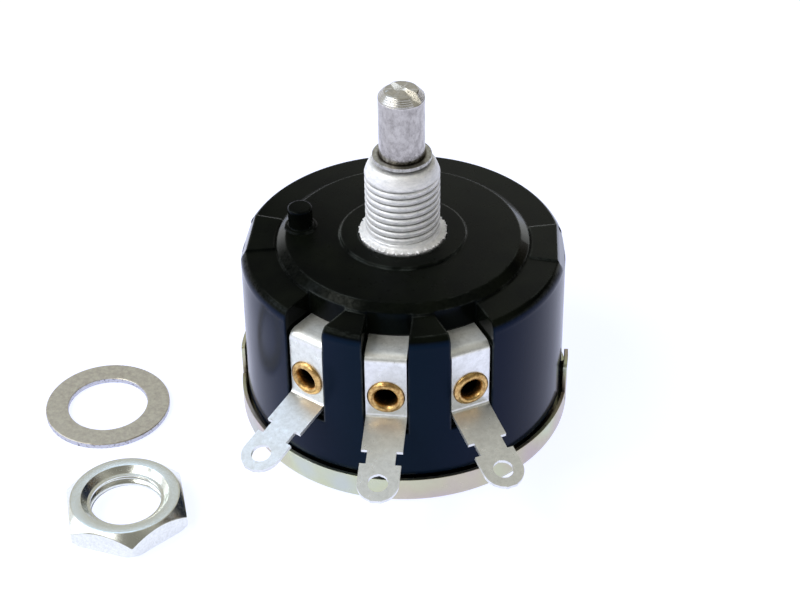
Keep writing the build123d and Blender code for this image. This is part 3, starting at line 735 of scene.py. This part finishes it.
def hexagon(angle):
    """Distance from the axis to the side of the hexagon, with its corners just broken."""
    turn = (math.degrees(angle) - NUT_CORNER) % 60 - 30
    return min(NUT_HALF / math.cos(math.radians(turn)), NUT_CORNER_RADIUS)


def nut_foot(angle):
    return hexagon(angle), max(hexagon(angle) - 8.1, 0.08)


def nut_underside(angle):
    return min(hexagon(angle) - 0.08, 8.06), 0.0


def nut_side(angle):
    return hexagon(angle), nut_foot(angle)[1] + 0.1


def nut_cone(inset, lower=0.0):
    """Row on the turned cone, that far in from the hexagon's side."""
    return lambda a: (hexagon(a) - inset, NUT_HEIGHT - lower - max(hexagon(a) - inset - 7.1, 0.0))


print("the nut is", 2 * NUT_HALF, "mm across its flats")

# %% Nut, its solid
def nut():
    turn = circle(COLUMNS)
    side = [nut_underside, nut_foot, nut_side]
    cone = [nut_cone(0.0, 0.16), nut_cone(0.0, 0.04), nut_cone(0.05), nut_cone(0.15)]
    rim = [(7.2, 3.31), (7.13, 3.37), (7.04, 3.395)]
    face = [(6.9, NUT_HEIGHT), (5.85, NUT_HEIGHT), (5.72, 3.385)]
    mouth = [(5.64, 3.3), (5.5, 3.1), (4.98, 2.62), (NUT_BORE, NUT_THREAD_HIGH)]
    shell = skin("nut_shell", [(NUT_MOUTH, 0.0)] + side + cone + rim + face + mouth, turn)
    low = skin("nut_mouth", [(NUT_BORE, NUT_THREAD_LOW), (NUT_MOUTH, 0.0)], turn)
    sizes = {"Radius": NUT_BORE * MM, "Depth": -0.42 * MM, "Pitch": PITCH * MM, "Roughness": 0.0}
    ends = {"Low": NUT_THREAD_LOW * MM, "High": NUT_THREAD_HIGH * MM, "Run_Out": 0.25 * MM, "Crest": 1.5}
    thread = baked("nut_thread", THREAD, Finish=NUT, Columns=COLUMNS + 1, Rows=60, **sizes, **ends)
    nearest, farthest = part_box("hex_nut")
    centre = (nearest + farthest) / 2
    place = Matrix.Translation((centre.x, centre.y, 0.0))
    for mesh in (shell, low, thread):
        mesh.transform(place)
    return finish_piece("nut_hexagon", [shell, low, thread], NUT, "hex_nut", "nut", 25)


print("nut faces:", len(nut().data.polygons))

# %% [markdown]
# ## The terminals
#
# A terminal is one strip that follows a path: flat in its pocket, round a soft bend, down the wall,
# and out along a sloping blade.  Stations run along the path; each has a half width and, where a
# hole is, a half gap, so the neck, the round tip and both holes come from the same few lines.

# %% Bent path
BEND_STEPS = 9


def bent_path(corners, radii, step):
    """Points and directions along straight runs joined by arcs, in the radius-height plane."""
    points = [Vector(c) for c in corners]
    walk = []
    start = points[0]
    for i, radius in enumerate(radii):
        before = (points[i + 1] - points[i]).normalized()
        after = (points[i + 2] - points[i + 1]).normalized()
        turn = before.angle(after)
        cut = radius * math.tan(turn / 2)
        side = 1.0 if before.cross(after) > 0 else -1.0
        end = points[i + 1] - before * cut
        runs = max(1, round((end - start).length / step))
        walk += [(start.lerp(end, k / runs), before) for k in range(runs)]
        inwards = Vector((-before.y, before.x)) * side
        centre = end + inwards * radius
        for k in range(BEND_STEPS):
            part = Matrix.Rotation(side * turn * k / BEND_STEPS, 2)
            walk.append((centre + part @ (-inwards * radius), part @ before))
        start = points[i + 1] + after * cut
    runs = round((points[-1] - start).length / step)
    last = (points[-1] - start).normalized()
    walk += [(start.lerp(points[-1], k / runs), last) for k in range(runs + 1)]
    return walk


straight = bent_path([(0, 0), (1, 0)], [], 0.5)
print("a straight millimetre in", len(straight), "points")

# %% Stations along a lug
LUG_ANGLES = {"left": -120.0, "centre": -90.0, "right": -60.0}
BLADE_SLOPE = math.radians(14.7)
STRIP_HALF = 2.65
STRIP_THICKNESS = 0.5
STRIP_START = 15.45
STRIP_WALL = 20.75
STRIP_TOP = 22.95
STRIP_CORNER = 13.35
EYE_DISTANCE = 30.7
EYE_RADIUS = 1.3
NECK_OUT = 6.46
NECK_HALF = 1.85
RIVET_HEIGHT = 16.8
RIVET_RADIUS = 1.63


def chord(radius, offset, least=0.0):
    """Half of a circle's chord at this offset from its centre."""
    return math.sqrt(max(radius**2 - offset**2, least))


def lug_stations():
    """Stations of (point, direction, half width, half gap) from the pocket to the round tip."""
    blade = (EYE_DISTANCE - STRIP_WALL) / math.cos(BLADE_SLOPE)
    fall = Vector((math.cos(BLADE_SLOPE), -math.sin(BLADE_SLOPE)))
    corner = Vector((STRIP_WALL, STRIP_CORNER))
    # The tip ends just before its curve closes, so that the last station keeps a width.
    corners = [(STRIP_START, STRIP_TOP), (STRIP_WALL, STRIP_TOP), corner, corner + fall * (blade + 2.64)]
    stations = []
    for point, way in bent_path(corners, [1.0, 0.75], 0.1):
        out = (point - corner).dot(fall)
        on_blade = way.x > 0.9 and point.y < 14.0
        half, gap = STRIP_HALF, 0.0
        if on_blade and out > blade:
            half = chord(STRIP_HALF, out - blade, 0.04)
        if on_blade and abs(out - NECK_OUT) < 1.0:
            half = NECK_HALF
        if on_blade:
            gap = chord(EYE_RADIUS, out - blade)
        if abs(way.x) < 0.05:
            gap = chord(RIVET_RADIUS, point.y - RIVET_HEIGHT)
        if stations and abs(stations[-1][2] - half) > 0.5 and on_blade:
            stations.append((point, way, stations[-1][2], gap))
        stations.append((point, way, half, gap))
    return stations


print("a lug has", len(lug_stations()), "stations")

# %% Terminals
def terminal(side):
    stations = lug_stations()
    points, faces = [], []
    for point, way, half, gap in stations:
        normal = Vector((-way.y, way.x)) * STRIP_THICKNESS / 2
        for face in (point + normal, point - normal):
            points += [(face.x * MM, y * MM, face.y * MM) for y in (-half, -gap, gap, half)]
    for i in range(len(stations) - 1):
        a, b = 8 * i, 8 * i + 8
        for j in (0, 2):
            faces += [(a + j, a + j + 1, b + j + 1, b + j), (a + j + 4, b + j + 4, b + j + 5, a + j + 5)]
        faces += [(a, b, b + 4, a + 4), (a + 3, a + 7, b + 7, b + 3)]
        # A hole has walls; where both gaps are nothing, the two halves of the strip meet.
        if stations[i][3] or stations[i + 1][3]:
            faces += [(a + 1, a + 5, b + 5, b + 1), (a + 2, b + 2, b + 6, a + 6)]
    end = 8 * (len(stations) - 1)
    faces += [(0, 4, 5, 1), (2, 6, 7, 3)]
    faces += [(end, end + 1, end + 5, end + 4), (end + 2, end + 3, end + 7, end + 6)]
    mesh = bpy.data.meshes.new("terminal_" + side)
    mesh.from_pydata(points, [], faces)
    mesh.transform(Matrix.Rotation(math.radians(LUG_ANGLES[side]), 4, "Z"))
    node = "terminal_" + side
    return finish_piece("terminal_strip_" + side, [mesh], TINNED, node, "case", 40)


for side in LUG_ANGLES:
    print(side, "terminal faces:", len(terminal(side).data.polygons))

# %% [markdown]
# ## The eyelets
#
# Each eyelet is rolled over from tube: a soft round rim with a funnel that runs into the bore.  The
# tool leaves every rim a little uneven, and no two are alike.

# %% Eyelets
EYELET_SEAT = 21.0
EYELET_BORE = 1.3
EYELET_TUBE = 1.6
CLINCH_RADIUS = 2.3
CLINCH_THICKNESS = 0.35


def rolled(radius, height, seed):
    """Row of the rim, a little uneven all round."""
    return lambda a: (
        radius + ripple(a, seed, (2, 0.02), (5, 0.015)),
        height + ripple(a, seed + 1, (3, 0.02), (7, 0.012)),
    )


def eyelet(side, seed):
    name = "eyelet_" + side
    angle = math.radians(LUG_ANGLES[side])
    outward = Vector((math.cos(angle), math.sin(angle), 0.0))
    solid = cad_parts[name].data.vertices
    end = min(v.co.dot(outward) for v in solid) / MM - EYELET_SEAT
    low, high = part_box(name)
    tube = [(EYELET_BORE, end), (EYELET_BORE, -0.9)]
    funnel = [(1.31, -0.45), (1.35, -0.15), (1.42, 0.1)]
    curl = ((1.52, 0.33), (1.64, 0.47), (1.78, 0.55), (1.92, 0.55), (2.06, 0.49), (2.2, 0.4), (2.32, 0.29))
    rim = [rolled(radius, height, seed) for radius, height in curl]
    edge = [(2.42, 0.17), (2.44, 0.08), (2.42, 0.0)]
    back = [(EYELET_TUBE, 0.0), (EYELET_TUBE, end + CLINCH_THICKNESS)]
    clinch = [(CLINCH_RADIUS, end + CLINCH_THICKNESS), (CLINCH_RADIUS, end)]
    mesh = skin(name, tube + funnel + rim + edge + back + clinch, circle(96), closed=True)
    axis = Vector((0, 0, 1)).rotation_difference(outward).to_matrix().to_4x4()
    seat = outward * EYELET_SEAT * MM + Vector((0, 0, (low.z + high.z) / 2))
    mesh.transform(Matrix.Translation(seat) @ axis)
    return finish_piece("eyelet_rolled_" + side, [mesh], BRASS, name, "case", 60)


for number, side in enumerate(LUG_ANGLES):
    print(side, "eyelet faces:", len(eyelet(side, 10 * number).data.polygons))

# %% [markdown]
# ## The wound element
#
# Inside the case the resistance wire is wound close on its curved former, nearly three hundred
# turns from one end clamp to the other.  One turn is a rounded rectangle of wire, and Geometry Nodes
# sets the turns round the arc.

# %% Winding tree
def winding_tree():
    sizes = ("Inner Radius", "Outer Radius", "Low", "High", "Wire Radius", "Start Angle", "Step Angle")
    tree, given = geometry_tree("winding", sizes, ("Turns",))
    radii = {0: given["Outer Radius"], 1: given["Inner Radius"]}
    ends = {0: given["High"], 1: given["Low"]}
    width = add(tree, "ShaderNodeMath", radii, operation="SUBTRACT")
    height = add(tree, "ShaderNodeMath", ends, operation="SUBTRACT")
    loop = {"Width": width, "Height": height}
    loop = add(tree, "GeometryNodeCurvePrimitiveQuadrilateral", loop)
    corner = add(tree, "ShaderNodeMath", {0: width, 1: 0.3}, operation="MULTIPLY")
    soft = {"Curve": loop, "Count": 3, "Radius": corner}
    soft = add(tree, "GeometryNodeFilletCurve", soft, mode="POLY")
    # Five sides are enough for a wire that is repeated so often.
    wire = {"Resolution": 5, "Radius": given["Wire Radius"]}
    wire = add(tree, "GeometryNodeCurvePrimitiveCircle", wire)
    turn = add(tree, "GeometryNodeCurveToMesh", {"Curve": soft, "Profile Curve": wire})
    across = add(tree, "ShaderNodeMath", radii, operation="ADD")
    across = add(tree, "ShaderNodeMath", {0: across, 1: 0.5}, operation="MULTIPLY")
    up = add(tree, "ShaderNodeMath", ends, operation="ADD")
    up = add(tree, "ShaderNodeMath", {0: up, 1: 0.5}, operation="MULTIPLY")
    place = add(tree, "ShaderNodeCombineXYZ", {"X": across, "Z": up})
    upright = {"Geometry": turn, "Translation": place, "Rotation": (math.pi / 2, 0.0, 0.0)}
    upright = add(tree, "GeometryNodeTransform", upright)
    line = {"Count": given["Turns"], "Offset": (0.0, 0.0, 0.0)}
    line = add(tree, "GeometryNodeMeshLine", line)
    index = add(tree, "GeometryNodeInputIndex")
    angle = add(tree, "ShaderNodeMath", {0: index, 1: given["Step Angle"]}, operation="MULTIPLY")
    angle = add(tree, "ShaderNodeMath", {0: given["Start Angle"], 1: angle}, operation="ADD")
    spin = add(tree, "ShaderNodeCombineXYZ", {"Z": angle})
    turns = {"Points": line, "Instance": upright, "Rotation": spin}
    turns = add(tree, "GeometryNodeInstanceOnPoints", turns)
    return handed_over(tree, turns, given["Finish"])


WINDING = winding_tree()
print("winding tree has", len(WINDING.nodes), "nodes")

# %% Winding
TURNS = 280
HALF_SWEEP = math.radians(143.6)


def winding():
    # Radii and heights of the wire's middle line, which keep the wire inside the solid.
    across = {"Inner_Radius": 16.08 * MM, "Outer_Radius": 17.32 * MM, "Wire_Radius": 0.12 * MM}
    heights = {"Low": 5.38 * MM, "High": 12.62 * MM}
    angles = {"Start_Angle": math.pi / 2 - HALF_SWEEP, "Step_Angle": 2 * HALF_SWEEP / (TURNS - 1)}
    mesh = baked("winding", WINDING, Turns=TURNS, Finish=WIRE, **across, **heights, **angles)
    return finish_piece("winding_turns", [mesh], WIRE, "resistance_winding", "case", 60)


print("winding faces:", len(winding().data.polygons))

# %% [markdown]
# ## The shaft
#
# The end was turned to a cone and parted off, so its face keeps the tool's rings and a small pip in
# the middle.  The saw cut for the screwdriver is a true cut through the turned solid.

# %% Turned end of the shaft
SHAFT_RADIUS = 2.99
GROOVE_RADIUS = 2.41
CONE_LOW = 48.45
CONE_RISE = 0.84
CONE_WIDTH = 0.72
CONE_ROWS = 24


def scored(radius, height, depth):
    """Row of the parted-off face, which the tool has left a little wavy."""
    return lambda a: (radius, height + ripple(a, 3, (2, depth), (5, depth), (11, 0.5 * depth)))


def turned_cone():
    """Rows up the cone, with the fine ridges that the tool's feed leaves."""
    rows = [(SHAFT_RADIUS, 48.26), (2.92, 48.3), (2.92, 48.37), (2.975, 48.41)]
    for i in range(CONE_ROWS):
        share = i / (CONE_ROWS - 1)
        ridge = 0.012 * math.cos(i * 2.6)
        rows.append((2.96 - CONE_WIDTH * share + ridge, CONE_LOW + CONE_RISE * share + ridge))
    return rows


def shaft_blank():
    foot = [(0.02, 12.82), (2.9, 12.82), (SHAFT_RADIUS, 12.92)]
    under = [(SHAFT_RADIUS, 39.4), (GROOVE_RADIUS, 39.42)]
    above = [(GROOVE_RADIUS, 39.98), (SHAFT_RADIUS, 40.0)]
    face = [scored(2.1, 49.37, 0.01), scored(1.7, 49.4, 0.035), scored(1.3, 49.38, 0.035)]
    middle = [scored(1.0, 49.4, 0.03), scored(0.6, 49.4, 0.02), (0.02, 49.4)]
    rows = foot + under + above + turned_cone() + face + middle
    return skin("shaft_blank", rows, circle(256), closed=True)


print("the cone has", CONE_ROWS, "rows")

# %% Saw cut
SAW_ANGLE = -38.0
SAW_TOP = 50.5
SAW_SIDES = (-0.7, 0.6)


def saw_cut():
    """Block that the slot is cut with; its floor rises to the pip in the middle and falls outside."""
    floor = ((-3.6, 48.75), (-1.6, 48.98), (-0.6, 49.0), (-0.35, 49.12))
    floor += ((0.35, 49.12), (0.6, 49.0), (1.7, 48.85), (3.6, 47.9))
    near, far = SAW_SIDES
    corners = []
    for x, low in floor:
        corners += [(x, near, low), (x, far, low), (x, far, SAW_TOP), (x, near, SAW_TOP)]
    sides = []
    for i in range(len(floor) - 1):
        for j in range(4):
            k = (j + 1) % 4
            sides.append((4 * i + j, 4 * i + k, 4 * i + 4 + k, 4 * i + 4 + j))
    last = 4 * len(floor) - 4
    sides += [(3, 2, 1, 0), (last, last + 1, last + 2, last + 3)]
    mesh = bpy.data.meshes.new("slot")
    mesh.from_pydata([tuple(c * MM for c in p) for p in corners], [], sides)
    mesh.transform(Matrix.Rotation(math.radians(SAW_ANGLE), 4, "Z"))
    return mesh


def shaft():
    blank = bpy.data.objects.new("shaft_blank", shaft_blank())
    saw = bpy.data.objects.new("saw", saw_cut())
    for piece in (blank, saw):
        bpy.context.scene.collection.objects.link(piece)
    cut = blank.modifiers.new("cut", "BOOLEAN")
    cut.operation = "DIFFERENCE"
    cut.solver = "EXACT"
    cut.object = saw
    graph = bpy.context.evaluated_depsgraph_get()
    mesh = bpy.data.meshes.new_from_object(blank.evaluated_get(graph), depsgraph=graph)
    for piece in (blank, saw):
        bpy.data.objects.remove(piece)
    return finish_piece("shaft_turned", [mesh], TURNED, "shaft", "rotor", 30)


print("shaft faces:", len(shaft().data.polygons))

# %% [markdown]
# ## The studio
#
# The part stands on a pale sheet in soft light.  The camera, and what metal and gloss mirror, see the
# floor with a light of its own, so that it is white while the shadow remains.  The object is lit
# only by the plain sheet, so that extra light never reaches it by way of matt surfaces.

# %% Floor
def floor_material():
    material = bpy.data.materials.new("paper_white")
    material.use_nodes = True
    tree = material.node_tree
    tree.nodes.clear()
    rays = add(tree, "ShaderNodeLightPath").outputs
    through = {0: rays["Is Glossy Ray"], 1: rays["Is Transmission Ray"]}
    mirrored = add(tree, "ShaderNodeMath", through, operation="MAXIMUM")
    seen = {0: rays["Is Camera Ray"], 1: mirrored}
    seen = add(tree, "ShaderNodeMath", seen, operation="MAXIMUM")
    paper = add(tree, "ShaderNodeBsdfDiffuse", {"Color": linear("#d8d8dc")})
    white = add(tree, "ShaderNodeBsdfDiffuse", {"Color": linear("#9a9a9a")})
    glow = add(tree, "ShaderNodeEmission", {"Color": linear("#dee3ff"), "Strength": 1.12})
    lit = add(tree, "ShaderNodeAddShader", {0: white, 1: glow})
    mixed = add(tree, "ShaderNodeMixShader", {0: seen, 1: paper, 2: lit})
    add(tree, "ShaderNodeOutputMaterial", {"Surface": mixed})
    return material


def floor(half, height):
    """Square sheet under everything; metres."""
    mesh = bpy.data.meshes.new("floor")
    corners = [(-half, -half), (half, -half), (half, half), (-half, half)]
    mesh.from_pydata([(x, y, height) for x, y in corners], [], [(0, 1, 2, 3)])
    mesh.materials.append(floor_material())
    piece = bpy.data.objects.new("floor", mesh)
    bpy.context.scene.collection.objects.link(piece)
    return piece


# Just below the cover, so that the two don't flicker into each other.
ground = floor(1.5, -0.02 * MM)
print("floor at", round(ground.data.vertices[0].co.z, 5))

# %% [markdown]
# ## Light
#
# The world is a room: white near the horizon, greyer above, dimmer behind the camera, with a dark
# flag at the right that gives the metals an edge.  Four soft boxes add the highlights; the largest
# stands at the left, as a window would.

# %% World light
world = bpy.data.worlds.new("studio")
bpy.context.scene.world = world
world.use_nodes = True
tree = world.node_tree
tree.nodes.clear()
direction = add(tree, "ShaderNodeTexCoord").outputs["Generated"]
towards = add(tree, "ShaderNodeSeparateXYZ", {0: direction}).outputs
height = towards["Z"]
stops = [(0.0, "#eceef6"), (0.3, "#d2d3d0"), (0.6, "#d6d4ca"), (1.0, "#cbc9be")]
sky = add(tree, "ShaderNodeValToRGB", {0: height}, stops)
behind = add(tree, "ShaderNodeMapRange", {0: towards["Y"], 1: -0.2, 2: -0.6})
dimmed = {"Factor": behind, 6: sky, 7: linear("#8f8d85")}
front = add(tree, "ShaderNodeMix", dimmed, data_type="RGBA").outputs[2]
right = add(tree, "ShaderNodeMapRange", {0: towards["X"], 1: 0.15, 2: 0.55})
beside = add(tree, "ShaderNodeMapRange", {0: towards["Y"], 1: -0.35, 2: 0.05})
low = add(tree, "ShaderNodeMapRange", {0: height, 1: 0.85, 2: 0.6})
flag = add(tree, "ShaderNodeMath", {0: right, 1: beside}, operation="MULTIPLY")
flag = add(tree, "ShaderNodeMath", {0: flag, 1: low}, operation="MULTIPLY")
flagged = {"Factor": flag, 6: front, 7: linear("#54483d")}
room = add(tree, "ShaderNodeMix", flagged, data_type="RGBA").outputs[2]
ambient = add(tree, "ShaderNodeBackground", {"Color": room, "Strength": 0.8})
white = {"Color": (1, 1, 1, 1), "Strength": 1.0}
backdrop = add(tree, "ShaderNodeBackground", white)
rising = add(tree, "ShaderNodeMapRange", {0: height, 1: 0.16, 2: 0.22})
mixed = add(tree, "ShaderNodeMixShader", {0: rising, 1: backdrop, 2: ambient})
add(tree, "ShaderNodeOutputWorld", {"Surface": mixed})
print("world ready, with", len(tree.nodes), "nodes")

# %% Lamps
def lamp(name, place, target, size, power, colour):
    """Square soft box at place, facing target; metres and watts."""
    data = bpy.data.lights.new(name, "AREA")
    data.shape = "SQUARE"
    data.size = size
    data.energy = power
    data.color = linear(colour)[:3]
    piece = bpy.data.objects.new(name, data)
    bpy.context.scene.collection.objects.link(piece)
    piece.location = place
    piece.rotation_euler = (Vector(target) - Vector(place)).to_track_quat("-Z", "Y").to_euler()
    return piece


middle = Vector((0, 0, 0.02))
lamp("key", (-0.45, -0.12, 0.75), middle, 0.25, 1.5, "#fffaf4")
lamp("left", (-0.747, -0.159, 0.477), middle, 0.5, 2.35, "#e2ecff")
lamp("front", (-0.395, -0.565, 0.579), middle, 0.4, 1.65, "#ffffff")
lamp("back_left", (-0.26, 0.416, 0.755), middle, 0.3, 0.42, "#b4d2ff")

# %% [markdown]
# ## Camera
#
# A long lens, about a quarter of a metre away, looks down on the part from the front and a little
# from the right.

# %% Camera
# The lens and the place are in millimetres, the three turns in degrees.
LENS = 83.17
CAMERA_AT = (22.8, -198.73, 167.81)
HEADING = 6.69
DOWNWARD = 37.13
ROLL = -0.785

camera_data = bpy.data.cameras.new("camera")
camera_data.sensor_width = 36.0
camera_data.lens = LENS
camera_data.clip_start = 10 * MM
camera = bpy.data.objects.new("camera", camera_data)
bpy.context.scene.collection.objects.link(camera)
heading = Matrix.Rotation(math.radians(HEADING), 4, "Z")
tilt = Matrix.Rotation(math.radians(90 - DOWNWARD), 4, "X")
roll = Matrix.Rotation(math.radians(ROLL), 4, "Z")
camera.matrix_world = Matrix.Translation(Vector(CAMERA_AT) * MM) @ heading @ tilt @ roll
bpy.context.scene.camera = camera
bpy.context.scene.view_settings.view_transform = "Standard"
print("camera at", [round(v, 4) for v in camera.location])
